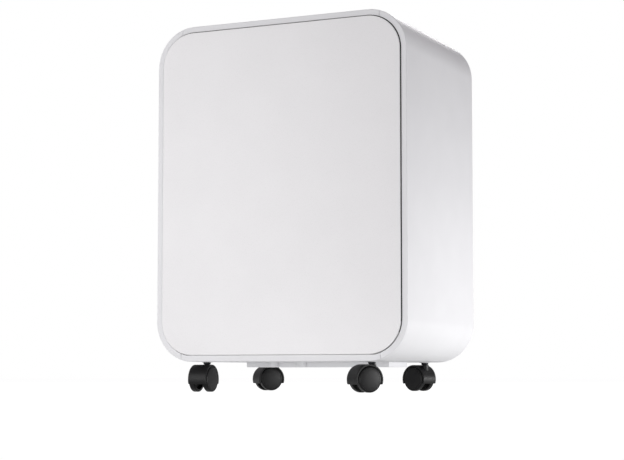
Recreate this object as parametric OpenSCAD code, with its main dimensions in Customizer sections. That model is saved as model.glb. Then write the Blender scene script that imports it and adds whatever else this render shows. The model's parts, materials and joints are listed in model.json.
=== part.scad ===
/* [Casing] */
// Width of the casing
body_w = 350; // [330:1:430]
// Depth of the casing behind the front panel
body_d = 245; // [240:1:300]
// Height of the top above the floor
top_z = 475; // [470:1:580]
// Height of the underside above the floor
floor_gap = 38.5; // [38:0.5:60]
// Outer radius of the four long corners
corner_r = 52; // [46:0.5:54]
// Distance from the casing side to the butt seams
seam_set = 36; // [34:1:40]
// Thickness of the moulded walls
wall = 2.5; // [2:0.1:3]
// Width of the front rim round the panel
rim_w = 7.5; // [7:0.5:12]
// Height of the base's front strip, which closes most of the gap under the panel
strip_h = 8.2; // [8:0.1:8.2]
// Gap at the butt seams of the casing
seam_gap = 0.3; // [0.1:0.1:0.6]
// Depth of the lip that turns back from the rim
lip_d = 8; // [6:0.5:9]
// Width of the flange that the back cover seats on
flange_w = 5; // [4:0.5:6]

/* [Front panel] */
// Gap between the panel and the rim
panel_gap = 1; // [1:0.1:2.5]
// Distance the panel stands proud of the rim
panel_proud = 2.5; // [1:0.1:4]
// Thickness of the panel
panel_t = 3; // [2:0.1:4]
// Radius of the panel's four mounting posts
panel_post_r = 5; // [4:0.5:7]

/* [Front bulkhead] */
// Distance from the rim face back to the bulkhead
bulkhead_set = 9; // [8:0.5:12]
// Thickness of the bulkhead
bulkhead_t = 2; // [1.5:0.1:3]

/* [Base] */
// Thickness of the base plate
base_t = 3; // [2.5:0.1:4]
// Width of the foot plinth
plinth_w = 206; // [150:1:210]
// Depth of the foot plinth
plinth_d = 65; // [50:1:76]
// Distance from the back face to the plinth
plinth_set = 63.5; // [60:0.5:80]
// Drop of the plinth below the base
plinth_h = 6.5; // [3:0.5:7]
// Wall of the plinth and its ribs
plinth_wall = 3; // [2:0.5:4]

/* [Casters] */
// Distance from the casing side to the front stems
caster_side = 59; // [54:1:70]
// Distance from the casing side to the rear stems
caster_side_rear = 62.5; // [54:0.5:72]
// Distance from the rim face to the front stems
caster_front = 28.5; // [28.5:0.5:40]
// Distance from the back face to the rear stems
caster_rear = 22.5; // [22.5:0.5:40]
// Radius of a caster wheel
wheel_r = 16; // [14:0.5:16]
// Width of one caster wheel
wheel_w = 8.5; // [7:0.1:9]
// Distance from the stem to the axle
trail = 10; // [8.3:0.1:10]
// Radius of the stem
stem_r = 3.5; // [3:0.1:3.8]
// Wall of the stem socket
socket_wall = 1.8; // [1.5:0.1:2]
// Gap between a wheel and the hood
wheel_gap = 0.5; // [0.4:0.1:0.9]
// Thickness of the hood
hood_t = 2.5; // [1.5:0.1:2.5]
// Radius of the wheel axle
axle_r = 2.5; // [2:0.1:3]
// Height of the boss round each stem
stem_boss_h = 0.6; // [0.5:0.1:3]
// Heading of the front left caster
turn_fl = 91; // [-180:1:180]
// Heading of the front right caster
turn_fr = 52; // [-180:1:180]
// Heading of the rear left caster
turn_rl = 48; // [-180:1:180]
// Heading of the rear right caster
turn_rr = -19; // [-180:1:180]

/* [Water tank] */
// Width of the tank
tank_w = 246; // [200:1:260]
// Depth of the tank
tank_d = 116; // [90:1:120]
// Height of the bay's floor above the base plate, over the stem sockets
bay_lift = 10; // [9:0.5:14]
// Height of the tank with its lid
tank_h = 158; // [130:1:165]
// Wall of the tank
tank_wall = 2.2; // [1.8:0.1:3]
// Gap between the tank and its bay
tank_gap = 1; // [0.6:0.1:1.5]
// Wall of the tank bay
bay_wall = 2; // [1.5:0.1:2.5]
// Thickness of the tank lid
lid_t = 2.4; // [2:0.1:3]
// Width of the grip recess in the tank face
grip_w = 96; // [80:1:120]
// Height of the grip recess
grip_h = 30; // [26:1:40]
// Depth of the grip recess
grip_d = 22; // [18:1:30]
// Radius of the float's pivot pin
float_pin_r = 2; // [1.5:0.1:2.5]

/* [Heat exchangers] */
// Thickness of the drip tray's floor and walls
tray_t = 2; // [1.5:0.1:3]
// Height of the drip tray
tray_h = 12; // [10:1:16]
// Width of each finned coil
coil_w = 250; // [200:2:256]
// Depth of each finned coil
coil_d = 25; // [20:1:27]
// Height of each finned coil
coil_h = 214; // [208:1:220]
// Gap between neighbouring units from back to front
stack_gap = 6; // [4:0.5:8]
// Pitch of the fins
fin_pitch = 9; // [7:0.5:14]
// Thickness of a fin
fin_t = 0.8; // [0.5:0.1:1]
// Radius of the coil tube
tube_r = 3.5; // [3:0.1:4]
// Spacing of the tube's passes
tube_pitch = 34; // [30:1:36]
// Number of passes of the tube
tube_rows = 6; // [4:2:6]

/* [Air filter] */
// Thickness of the filter frame
filter_t = 4; // [3:0.1:5]
// Width of the filter frame
filter_w = 250; // [200:1:260]
// Width of the filter's frame bars
filter_bar = 6; // [5:0.5:9]
// Distance from the back cover to the filter
filter_set = 5.5; // [5:0.5:7]
// Gap round the filter in its slot
filter_gap = 0.6; // [0.4:0.1:1]

/* [Fan] */
// Outer radius of the fan wheel
fan_r = 92; // [76:1:92]
// Length of the fan wheel
fan_len = 38; // [30:1:40]
// Radial depth of the fan blades
blade_d = 15; // [10:1:18]
// Number of fan blades
blade_n = 28; // [18:1:36]
// Gap between the fan wheel and the scroll
fan_gap = 6; // [4:0.5:8]
// Wall of the fan scroll
scroll_t = 2; // [1.5:0.1:3]
// Radius of the motor shaft
shaft_r = 4; // [3:0.1:5]
// Radius of the fan motor
motor_r = 34; // [28:1:38]
// Length of the fan motor
motor_len = 56; // [45:1:60]

/* [Compressor] */
// Radius of the compressor shell
comp_r = 44; // [36:1:46]
// Height of the compressor shell
comp_h = 140; // [120:1:145]
// Distance of the compressor to the right of the middle
comp_x = 60; // [40:1:70]
// Distance from the rim face to the compressor's axis
comp_set = 66; // [64:1:70]
// Radius of the circle of compressor feet
foot_pcd_r = 45; // [42:1:46]
// Radius of the compressor bolts
comp_bolt_r = 3; // [2.5:0.1:3.5]

/* [Top] */
// Width of the air outlet
outlet_w = 200; // [160:1:220]
// Thickness of the outlet flap
flap_t = 2.5; // [2:0.1:3]
// Radius of the flap's hinge barrel
flap_r = 3; // [2.5:0.1:3.5]
// Radius of the flap's hinge pins
flap_pin_r = 1.6; // [1.2:0.1:2]
// Width of the folding handle
handle_w = 170; // [140:1:190]
// Reach of the folding handle
handle_l = 32; // [28:1:32]
// Thickness of the folding handle
handle_t = 8; // [7:0.5:9]
// Depth of the handle's recess
handle_pocket = 12; // [11:0.5:14]
// Radius of the handle's pivot pins
handle_pin_r = 2.2; // [1.8:0.1:2.6]
// Width of the control fascia
fascia_w = 220; // [200:1:230]
// Depth of the control fascia
fascia_d = 42; // [36:1:46]
// Distance from the rim face to the fascia
fascia_set = 18; // [12:1:20]
// Radius of a control button
button_r = 7; // [6:0.5:8]
// Travel of a control button
button_travel = 1.2; // [0.8:0.1:1.6]
// Spacing of the control buttons
button_pitch = 22; // [20:1:24]
// Width of the display window
window_w = 56; // [40:1:60]
// Depth of the display window
window_d = 22; // [18:1:26]

/* [Back] */
// Thickness of the back cover
cover_t = 2.5; // [2:0.1:3]
// Gap round the back cover
cover_gap = 0.3; // [0.2:0.1:0.6]
// Height of one grille slot
slot_h = 3; // [2:0.1:4]
// Spacing of the grille slots
slot_pitch = 7; // [6:0.5:10]
// Radius of the screw shanks
screw_r = 1.6; // [1.3:0.1:2]
// Radius of the screw bosses
boss_r = 4.5; // [4:0.1:6]
// Outer radius of the drain spigot
spigot_r = 8; // [7:0.1:9]
// Bore radius of the drain spigot
spigot_bore_r = 5; // [4.5:0.1:5.5]
// Radius of the pocket round the spigot
drain_pocket_r = 16; // [14:0.5:17]
// Height of the drain above the floor
drain_z = 150; // [130:1:160]
// Height of the power inlet above the floor
inlet_z = 96; // [90:1:110]
// Width of the power inlet's mouth
inlet_w = 26; // [24:0.5:28]
// Height of the power inlet's mouth
inlet_h = 18; // [17:0.5:21]

/* [Hidden] */
$fn = 64;

// Clearances that several pieces share
run_gap = 0.05;
hole_gap = 0.05;
slide_gap = 0.4;
press_rest = 0.4;

// Main planes, with the origin under the middle of the whole object on the floor
front_y = -(body_d + panel_proud) / 2 + panel_proud;
back_y = front_y + body_d;
panel_y = front_y - panel_proud;
body_h = top_z - floor_gap;
mid_z = floor_gap + body_h / 2;
seam_x = body_w / 2 - seam_set;
inner_x = body_w / 2 - wall;
base_top = floor_gap + base_t;
bulkhead_y = front_y + bulkhead_set;
cover_y = back_y - cover_t;

// Tank and bay
bay_x = tank_w / 2 + tank_gap + bay_wall;
bay_z0 = base_top + bay_lift;
tank_z0 = bay_z0 + bay_wall + 0.6;
tank_z1 = tank_z0 + tank_h;
tank_y0 = back_y - tank_d;
bay_z1 = tank_z1 + tank_gap + bay_wall;
bay_y0 = tank_y0 - tank_gap - bay_wall;
grip_z = tank_z0 + tank_h * 0.68;
float_x = -tank_w / 2 + 34;
float_y = tank_y0 + 34;
float_pin_z = tank_z1 - 22;

// Stack from the back cover forwards
filter_y1 = cover_y - filter_set;
filter_y0 = filter_y1 - filter_t;
evap_y1 = filter_y0 - 2;
evap_y0 = evap_y1 - coil_d;
cond_y1 = evap_y0 - stack_gap;
cond_y0 = cond_y1 - coil_d;
evap_y = (evap_y0 + evap_y1) / 2;
cond_y = (cond_y0 + cond_y1) / 2;
scroll_y1 = cond_y0 - stack_gap;
scroll_y0 = scroll_y1 - fan_len - 2 * (scroll_t + slide_gap) - 5;
fan_y0 = scroll_y0 + scroll_t + slide_gap + 2.5;
tray_z0 = bay_z1;
coil_z0 = tray_z0 + tray_h;
filter_z0 = coil_z0 + 2;
fan_z = coil_z0 + coil_h / 2 + 4;
scroll_r = fan_r + fan_gap + scroll_t;
tube_z0 = coil_z0 + (coil_h - tube_pitch * (tube_rows - 1)) / 2;
tube_z1 = tube_z0 + tube_pitch * (tube_rows - 1);

// Top pieces
grille_z1 = top_z - 9;
grille_z0 = grille_z1 - 13;
scroll_z1 = grille_z0;
flap_y = scroll_y1 + 1;
flap_front = scroll_y0 - 2;
handle_y = flap_y + flap_r + 10;
handle_z = top_z - 2 - handle_t / 2;
pocket_x = handle_w / 2 + 3;
pocket_y0 = handle_y - handle_t / 2 - 2.4;
pocket_y1 = handle_y + handle_l + 4;
fascia_y0 = front_y + fascia_set;
fascia_y = fascia_y0 + fascia_d / 2;
fascia_z = top_z - 1.2;
fascia_t = 3;
button_x0 = -fascia_w / 2 + 20;
board_z1 = top_z - 12;

// Back pieces
side_strip_x = (bay_x + inner_x - flange_w) / 2;
screw_x = inner_x - boss_r - 1;
screw_zs = [floor_gap + corner_r + 34, mid_z - 20, top_z - corner_r - 8];
drain_depth = 18;
inlet_depth = 15;

// Compressor
comp_y = front_y + comp_set;
comp_z0 = base_top + 10;
comp_top = comp_z0 + comp_h;

// Casters: position of each stem and heading
stem_x = body_w / 2 - caster_side;
stem_xr = body_w / 2 - caster_side_rear;
seam_in = seam_x - seam_gap;
stem_yf = front_y + caster_front;
stem_yr = back_y - caster_rear;
casters = [
    [-stem_x, stem_yf, turn_fl],
    [stem_x, stem_yf, turn_fr],
    [-stem_xr, stem_yr, turn_rl],
    [stem_xr, stem_yr, turn_rr],
];
socket_r = stem_r + run_gap + socket_wall;
wheel_in = socket_r + 0.4;
hood_r = wheel_r + wheel_gap + hood_t;
hood_top = wheel_r + hood_r;
hood_half = wheel_in + wheel_w - 1.5;

white = "whitesmoke";
steel = "silver";
dark = "dimgray";
black = "#242527";

// ---------- shared shapes ----------

module slab(x, y, z) {
    translate([x[0], y[0], z[0]])
        cube([x[1] - x[0], y[1] - y[0], z[1] - z[0]]);
}

module rounded(w, h, r) {
    square([w - 2 * r, h], center = true);
    square([w, h - 2 * r], center = true);
    for (i = [-1, 1], j = [-1, 1])
        translate([i * (w / 2 - r), j * (h / 2 - r)])
            circle(r);
}

module along_y(y0, y1) {
    translate([0, y1, 0])
        rotate([90, 0, 0])
            linear_extrude(y1 - y0)
                children();
}

module rod_y(x, z, y0, y1, r) {
    translate([x, y1, z])
        rotate([90, 0, 0])
            cylinder(r = r, h = y1 - y0);
}

module rod_x(y, z, x0, x1, r) {
    translate([x0, y, z])
        rotate([0, 90, 0])
            cylinder(r = r, h = x1 - x0);
}

module rod_z(x, y, z0, z1, r) {
    translate([x, y, z0])
        cylinder(r = r, h = z1 - z0);
}

module outline(inset) {
    translate([0, mid_z])
        rounded(body_w - 2 * inset, body_h - 2 * inset, corner_r - inset);
}

module ring(y0, y1, outer, inner) {
    along_y(y0, y1)
        difference() {
            outline(outer);
            outline(inner);
        }
}

module casing_ring() {
    ring(front_y, back_y, 0, wall);
    ring(front_y, front_y + wall, 0, rim_w);
    ring(front_y, front_y + lip_d, rim_w - 2, rim_w);
    ring(cover_y - 2, cover_y, wall - 0.01, wall + flange_w);
}

module screw_boss(side, z) {
    difference() {
        union() {
            rod_y(side * screw_x, z, cover_y - 20, cover_y, boss_r);
            translate([side * (screw_x + (inner_x - screw_x) / 2 + 0.25), cover_y - 10, z])
                cube([inner_x - screw_x + 0.5, 20, 3], center = true);
        }
        rod_y(side * screw_x, z, cover_y - 18, cover_y + 1, screw_r + hole_gap);
    }
}

module side_casing(side) {
    far = body_w;
    x = side > 0 ? [seam_x, far] : [-far, -seam_x];
    difference() {
        union() {
            intersection() {
                casing_ring();
                slab(x, [front_y - 1, back_y + 1], [0, top_z + 1]);
            }
            for (z = screw_zs)
                screw_boss(side, z);
        }
        for (z = screw_zs)
            rod_y(side * screw_x, z, cover_y - 18, cover_y + 1, screw_r + hole_gap);
    }
}

// A pipe that runs square from point to point
module pipe(points, r) {
    for (i = [0:len(points) - 2]) {
        p = points[i];
        q = points[i + 1];
        lo = [min(p[0], q[0]), min(p[1], q[1]), min(p[2], q[2])];
        hi = [max(p[0], q[0]), max(p[1], q[1]), max(p[2], q[2])];
        if (hi[0] - lo[0] > 0.001)
            rod_x(p[1], p[2], lo[0], hi[0], r);
        if (hi[1] - lo[1] > 0.001)
            rod_y(p[0], p[2], lo[1], hi[1], r);
        if (hi[2] - lo[2] > 0.001)
            rod_z(p[0], p[1], lo[2], hi[2], r);
        if (i > 0)
            translate(p)
                sphere(r);
    }
}

// ---------- casing ----------

module base_pan() {
    color(white)
        difference() {
            union() {
                intersection() {
                    casing_ring();
                    slab([-seam_in, seam_in], [front_y - 1, back_y + 1], [0, mid_z]);
                }
                intersection() {
                    along_y(front_y, cover_y - 2)
                        outline(0);
                    slab([-seam_in, seam_in], [front_y, cover_y - 2], [floor_gap, base_top]);
                }
                slab([-seam_in, seam_in], [front_y, front_y + lip_d],
                    [floor_gap + rim_w - 2, floor_gap + strip_h]);
                difference() {
                    slab([-plinth_w / 2, plinth_w / 2],
                        [back_y - plinth_set - plinth_d, back_y - plinth_set],
                        [floor_gap - plinth_h, floor_gap + 0.5]);
                    slab([-plinth_w / 2 + plinth_wall, plinth_w / 2 - plinth_wall],
                        [back_y - plinth_set - plinth_d + plinth_wall,
                            back_y - plinth_set - plinth_wall],
                        [floor_gap - plinth_h - 1, floor_gap]);
                }
                for (k = [-0.3, -0.1])
                    rod_z(k * plinth_w, back_y - plinth_set - plinth_d - 3,
                        floor_gap - plinth_h + 0.6, floor_gap + 0.5, 6.5);
                for (k = [-2:2])
                    slab([k * plinth_w / 6 - plinth_wall / 2, k * plinth_w / 6 + plinth_wall / 2],
                        [back_y - plinth_set - plinth_d + 1, back_y - plinth_set - 1],
                        [floor_gap - plinth_h + 1, floor_gap + 0.5]);
                for (c = casters)
                    rod_z(c[0], c[1], floor_gap - stem_boss_h, bay_z0 - 0.4, stem_r + 3.5);
                for (k = [-1:1])
                    slab([k * tank_w / 3 - 1.5, k * tank_w / 3 + 1.5],
                        [bay_y0, cover_y - 2.1], [floor_gap + 1, bay_z0]);
                for (a = [90, 210, 330])
                    rod_z(comp_x + foot_pcd_r * cos(a), comp_y + foot_pcd_r * sin(a),
                        base_top - 0.5, base_top + 4, 7);
            }
            for (c = casters)
                rod_z(c[0], c[1], floor_gap - stem_boss_h - 1, bay_z0 - 1.4, stem_r + hole_gap);
            for (a = [90, 210, 330])
                rod_z(comp_x + foot_pcd_r * cos(a), comp_y + foot_pcd_r * sin(a),
                    floor_gap - 1, base_top + 5, comp_bolt_r + hole_gap);
        }
}

module left_casing() {
    color(white)
        side_casing(-1);
}

module right_casing() {
    color(white)
        side_casing(1);
}

module outlet_hole() {
    slab([-outlet_w / 2, outlet_w / 2], [flap_front, flap_y + flap_r + slide_gap],
        [grille_z0 - 20, top_z + 1]);
}

module top_cover() {
    color(white)
        difference() {
            union() {
                intersection() {
                    casing_ring();
                    slab([-seam_in, seam_in], [front_y - 1, back_y + 1], [mid_z, top_z + 1]);
                }
                slab([-outlet_w / 2 - wall, outlet_w / 2 + wall],
                    [flap_front - wall, flap_y + flap_r + slide_gap + wall],
                    [grille_z1 - 4, top_z - 0.5]);
                slab([-pocket_x - wall, pocket_x + wall], [pocket_y0 - wall, pocket_y1 + wall],
                    [top_z - handle_pocket - wall, top_z - 0.5]);
                slab([-fascia_w / 2 - 3, fascia_w / 2 + 3],
                    [fascia_y0 - 3, fascia_y0 + fascia_d + 3],
                    [fascia_z - fascia_t - 2, top_z - 0.5]);
                for (i = [-1, 1])
                    rod_z(i * (fascia_w / 2 - 6), fascia_y, board_z1, fascia_z - fascia_t - 1, 4);
            }
            outlet_hole();
            rod_x(flap_y, top_z - flap_r, -outlet_w / 2 - wall + 0.5, outlet_w / 2 + wall - 0.5,
                flap_pin_r + run_gap);
            slab([-pocket_x, pocket_x], [pocket_y0, pocket_y1],
                [top_z - handle_pocket, top_z + 1]);
            rod_x(handle_y, handle_z, -pocket_x - wall + 0.4, pocket_x + wall - 0.4,
                handle_pin_r + run_gap);
            slab([-fascia_w / 2 - 0.3, fascia_w / 2 + 0.3],
                [fascia_y0 - 0.3, fascia_y0 + fascia_d + 0.3],
                [fascia_z - fascia_t, top_z + 1]);
            slab([-fascia_w / 2 + 10, fascia_w / 2 - 10],
                [fascia_y0 + 4, fascia_y0 + fascia_d - 4],
                [board_z1 - 1, top_z + 1]);
            slab([-filter_w / 2 - filter_gap, filter_w / 2 + filter_gap],
                [filter_y0 - filter_gap, filter_y1 + filter_gap],
                [top_z - 20, top_z + 1]);
        }
}

module front_panel() {
    inset = rim_w + panel_gap;
    color(white) {
        difference() {
            along_y(panel_y, panel_y + panel_t + 4)
                outline(inset);
            along_y(panel_y + panel_t, panel_y + panel_t + 5)
                outline(inset + 2.5);
        }
        for (i = [-1, 1], z = [floor_gap + 60, top_z - 60])
            rod_y(i * (seam_x - 20), z, panel_y + panel_t - 0.5, bulkhead_y, panel_post_r);
    }
}

module front_bulkhead() {
    color(white)
        union() {
            along_y(bulkhead_y, bulkhead_y + bulkhead_t)
                difference() {
                    outline(wall + 0.2);
                    translate([-seam_x - 0.1, 0])
                        square([2 * seam_x + 0.2, base_top]);
                    translate([0, top_z - 26])
                        square([fascia_w + 10, 24], center = true);
                }
            for (i = [-1, 1])
                slab([i * (seam_x - 4) - 1.5, i * (seam_x - 4) + 1.5],
                    [bulkhead_y + bulkhead_t - 0.5, bulkhead_y + bulkhead_t + 12],
                    [base_top + 5, top_z - corner_r]);
        }
}

module back_cover() {
    grille_x = filter_w / 2 - 8;
    z0 = coil_z0 + 8;
    rows = floor((coil_z0 + coil_h - 8 - z0) / slot_pitch);
    color(white)
        difference() {
            union() {
                along_y(cover_y, back_y)
                    outline(wall + cover_gap);
                rod_y(-side_strip_x, drain_z, back_y - drain_depth - 2, back_y,
                    drain_pocket_r + 2);
                for (i = [-1, 1])
                    slab([i * (filter_w / 2 + filter_gap + 1.5) - 1.5,
                            i * (filter_w / 2 + filter_gap + 1.5) + 1.5],
                        [filter_y0 - 1, cover_y + 1], [coil_z0, top_z - 24]);
            }
            slab([-tank_w / 2 - tank_gap, tank_w / 2 + tank_gap], [0, back_y + 1],
                [tank_z0 - 0.6, tank_z1 + tank_gap]);
            for (k = [0:rows - 1], c = [-1:1])
                slab([c * grille_x * 2 / 3 - grille_x / 3 + 3, c * grille_x * 2 / 3 + grille_x / 3 - 3],
                    [cover_y - 1, back_y + 1],
                    [z0 + k * slot_pitch, z0 + k * slot_pitch + slot_h]);
            rod_y(-side_strip_x, drain_z, back_y - drain_depth, back_y + 1, drain_pocket_r);
            slab([side_strip_x - inlet_w / 2 - 3.2, side_strip_x + inlet_w / 2 + 3.2],
                [cover_y - 1, back_y + 1],
                [inlet_z - inlet_h / 2 - 3.2, inlet_z + inlet_h / 2 + 3.2]);
            for (i = [-1, 1], z = screw_zs)
                rod_y(i * screw_x, z, cover_y - 1, back_y + 1, screw_r + hole_gap);
            for (i = [-1, 1], z = screw_zs)
                rod_y(i * screw_x, z, back_y - 1.4, back_y + 1, screw_r + 2);
        }
    color(white)
        difference() {
            rod_y(-side_strip_x, drain_z, back_y - drain_depth - 0.5, back_y - 4, spigot_r);
            rod_y(-side_strip_x, drain_z, back_y - drain_depth, back_y, spigot_bore_r);
        }
}

module casing_screws() {
    color(steel)
        for (i = [-1, 1], z = screw_zs) {
            rod_y(i * screw_x, z, cover_y - 14, back_y - 0.4, screw_r);
            rod_y(i * screw_x, z, back_y - 1.4, back_y - 0.3, screw_r + 1.6);
        }
}

// ---------- tank and its bay ----------

module tank_bay() {
    color(white)
        difference() {
            slab([-bay_x, bay_x], [bay_y0, cover_y - 2.1], [bay_z0, bay_z1]);
            slab([-bay_x + bay_wall, bay_x - bay_wall], [bay_y0 + bay_wall, back_y],
                [bay_z0 + bay_wall, bay_z1 - bay_wall]);
            rod_z(0, evap_y - 20, bay_z1 - bay_wall - 1, bay_z1 + 1, 7);
        }
}

module water_tank() {
    x = tank_w / 2;
    inner = [tank_y0 + tank_wall, back_y - tank_wall];
    gx = grip_w / 2;
    color("lightgray")
        difference() {
            union() {
                difference() {
                    slab([-x, x], [tank_y0, back_y], [tank_z0, tank_z1 - lid_t]);
                    slab([-x + tank_wall, x - tank_wall], inner,
                        [tank_z0 + tank_wall, tank_z1]);
                }
                slab([-gx - tank_wall, gx + tank_wall],
                    [back_y - grip_d - tank_wall, back_y],
                    [grip_z - grip_h / 2 - tank_wall, grip_z + grip_h / 2 + tank_wall]);
                for (i = [-1, 1])
                    slab([float_x + i * 9 - 1.5, float_x + i * 9 + 1.5],
                        [tank_y0 + 1, float_y + 4],
                        [float_pin_z - 5, float_pin_z + 5]);
            }
            slab([-gx, gx], [back_y - grip_d, back_y + 1],
                [grip_z - grip_h / 2, grip_z + grip_h / 2]);
            rod_x(float_y, float_pin_z, float_x - 15, float_x + 15, float_pin_r + run_gap);
        }
}

module tank_lid() {
    x = tank_w / 2;
    lip = tank_wall + 0.2;
    color(white)
        difference() {
            union() {
                slab([-x, x], [tank_y0, back_y], [tank_z1 - lid_t, tank_z1]);
                slab([-x + lip, x - lip], [tank_y0 + lip, back_y - lip],
                    [tank_z1 - lid_t - 4, tank_z1 - lid_t + 0.1]);
            }
            slab([-x + lip + 2, x - lip - 2], [tank_y0 + lip + 2, back_y - lip - 2],
                [tank_z1 - lid_t - 5, tank_z1 - lid_t]);
            rod_z(0, evap_y - 20, tank_z1 - lid_t - 1, tank_z1 + 1, 15);
        }
}

module tank_float() {
    color("orange")
        union() {
            rod_x(float_y, float_pin_z, float_x - 10.4, float_x + 10.4, float_pin_r);
            rod_x(float_y, float_pin_z, float_x - 7, float_x + 7, 4);
            slab([float_x - 4, float_x + 4], [float_y, float_y + 22],
                [float_pin_z - 2, float_pin_z + 2]);
            slab([float_x - 14, float_x + 14], [float_y + 16, float_y + 46],
                [float_pin_z - 24, float_pin_z - 4]);
            slab([float_x - 4, float_x + 4], [float_y + 18, float_y + 22],
                [float_pin_z - 5, float_pin_z + 2]);
        }
}

module drip_tray() {
    w = coil_w / 2 + 4;
    color(white)
        difference() {
            slab([-w, w], [cond_y0 - 1, evap_y1 + 1], [tray_z0, coil_z0 - 0.2]);
            slab([-w + tray_t, w - tray_t], [cond_y0 - 1 + tray_t, evap_y1 + 1 - tray_t],
                [tray_z0 + tray_t, coil_z0]);
            rod_z(0, evap_y - 20, tray_z0 - 1, tray_z0 + 5, 5);
        }
    color(white)
        pipe([
            [-w, evap_y, tray_z0 + 5],
            [-side_strip_x, evap_y, tray_z0 + 5],
            [-side_strip_x, evap_y, drain_z],
            [-side_strip_x, back_y - drain_depth - 2, drain_z],
        ], 4);
}

// ---------- cooling circuit ----------

module coil_fins(y0, y1) {
    n = floor((coil_w / 2 - 6) / fin_pitch);
    yc = (y0 + y1) / 2;
    difference() {
        union() {
            for (k = [-n:n])
                slab([k * fin_pitch - fin_t / 2, k * fin_pitch + fin_t / 2],
                    [y0 + 1, y1 - 1], [coil_z0 + 4, coil_z0 + coil_h - 2]);
            for (i = [-1, 1])
                slab([i * (coil_w / 2 - 1) - 1, i * (coil_w / 2 - 1) + 1],
                    [y0, y1], [coil_z0 - 0.2, coil_z0 + coil_h]);
        }
        for (k = [0:tube_rows - 1])
            rod_x(yc, tube_z0 + k * tube_pitch, -coil_w, coil_w, tube_r + hole_gap);
    }
}

module bend(x, y, z, side) {
    translate([x, y, z])
        rotate([90, 0, 0])
            rotate([0, 0, side > 0 ? -90 : 90])
                rotate_extrude(angle = 180)
                    translate([tube_pitch / 2, 0])
                        circle(tube_r);
}

module coil_tubes(yc) {
    x = coil_w / 2 + 4;
    for (k = [0:tube_rows - 1])
        rod_x(yc, tube_z0 + k * tube_pitch, -x, x, tube_r);
    for (k = [0:2:tube_rows - 2])
        bend(-x, yc, tube_z0 + (k + 0.5) * tube_pitch, -1);
    for (k = [1:2:tube_rows - 3])
        bend(x, yc, tube_z0 + (k + 0.5) * tube_pitch, 1);
}

module evaporator_fins() {
    color("lightsteelblue")
        coil_fins(evap_y0, evap_y1);
}

module evaporator_tubes() {
    color("peru")
        coil_tubes(evap_y);
}

module condenser_fins() {
    color("lightsteelblue")
        coil_fins(cond_y0, cond_y1);
}

module condenser_tubes() {
    color("peru")
        coil_tubes(cond_y);
}

drier_x = bay_x + 15;
drier_z0 = base_top + 60;
drier_z1 = drier_z0 + 80;
pipe_a = bay_x + 27;
pipe_b = bay_x + 38;
coil_end = coil_w / 2 + 4;
run_z = comp_top + 24;

module refrigerant_pipes() {
    color("peru") {
        pipe([
            [coil_end, evap_y, tube_z1],
            [pipe_a, evap_y, tube_z1],
            [pipe_a, evap_y, run_z],
            [pipe_a, comp_y, run_z],
            [comp_x + 28, comp_y, run_z],
            [comp_x + 28, comp_y, comp_top + 4],
        ], 3);
        pipe([
            [comp_x, comp_y, comp_top + 6],
            [comp_x, comp_y, run_z + 16],
            [pipe_b, comp_y, run_z + 16],
            [pipe_b, cond_y, run_z + 16],
            [pipe_b, cond_y, tube_z1],
            [coil_end, cond_y, tube_z1],
        ], 3);
        pipe([
            [coil_end, cond_y, tube_z0],
            [drier_x, cond_y, tube_z0],
            [drier_x, cond_y, drier_z1],
        ], 3);
        pipe([
            [drier_x, cond_y, drier_z0],
            [drier_x, cond_y, drier_z0 - 10],
            [drier_x, cond_y + 18, drier_z0 - 10],
            [drier_x, cond_y + 18, tube_z0],
            [drier_x, evap_y, tube_z0],
            [coil_end, evap_y, tube_z0],
        ], 1.5);
    }
}

module filter_drier() {
    color("peru")
        translate([drier_x, cond_y, 0])
            rotate_extrude()
                polygon([
                    [0, drier_z0],
                    [4, drier_z0],
                    [9, drier_z0 + 12],
                    [9, drier_z1 - 12],
                    [4, drier_z1],
                    [0, drier_z1],
                ]);
}

module compressor() {
    color(black)
        difference() {
            union() {
                translate([comp_x, comp_y, 0])
                    rotate_extrude()
                        polygon([
                            [0, comp_z0],
                            [comp_r - 8, comp_z0],
                            [comp_r, comp_z0 + 8],
                            [comp_r, comp_top - 14],
                            [comp_r - 6, comp_top - 5],
                            [comp_r - 22, comp_top],
                            [0, comp_top],
                        ]);
                for (a = [90, 210, 330])
                    rod_z(comp_x + foot_pcd_r * cos(a), comp_y + foot_pcd_r * sin(a),
                        comp_z0, comp_z0 + 3, 9);
                rod_z(comp_x, comp_y, comp_top - 1, comp_top + 6, 6);
                rod_z(comp_x - 20, comp_y, comp_top - 3, comp_top + 9, 9);
                rod_z(comp_x + 28, comp_y, comp_top - 8, comp_top + 4, 5);
            }
            for (a = [90, 210, 330])
                rod_z(comp_x + foot_pcd_r * cos(a), comp_y + foot_pcd_r * sin(a),
                    comp_z0 - 1, comp_z0 + 30, comp_bolt_r + 1);
            for (a = [90, 210, 330])
                rod_z(comp_x + foot_pcd_r * cos(a), comp_y + foot_pcd_r * sin(a),
                    comp_z0 + 3, comp_z0 + 26, 7.5);
        }
}

module compressor_mounts() {
    color(black)
        for (a = [90, 210, 330])
            translate([comp_x + foot_pcd_r * cos(a), comp_y + foot_pcd_r * sin(a), 0])
                difference() {
                    rod_z(0, 0, base_top + 4, comp_z0, 8);
                    rod_z(0, 0, base_top, comp_z0 + 1, comp_bolt_r + hole_gap);
                }
}

module compressor_bolts() {
    color(steel)
        for (a = [90, 210, 330])
            translate([comp_x + foot_pcd_r * cos(a), comp_y + foot_pcd_r * sin(a), 0]) {
                rod_z(0, 0, base_top - 2, comp_z0 + 8, comp_bolt_r);
                difference() {
                    rod_z(0, 0, comp_z0 + 3, comp_z0 + 4, 6.5);
                    rod_z(0, 0, comp_z0, comp_z0 + 9, comp_bolt_r - 0.1);
                }
                translate([0, 0, comp_z0 + 4])
                    cylinder(r = 5.2, h = 4, $fn = 6);
            }
}

// ---------- fan ----------

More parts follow.
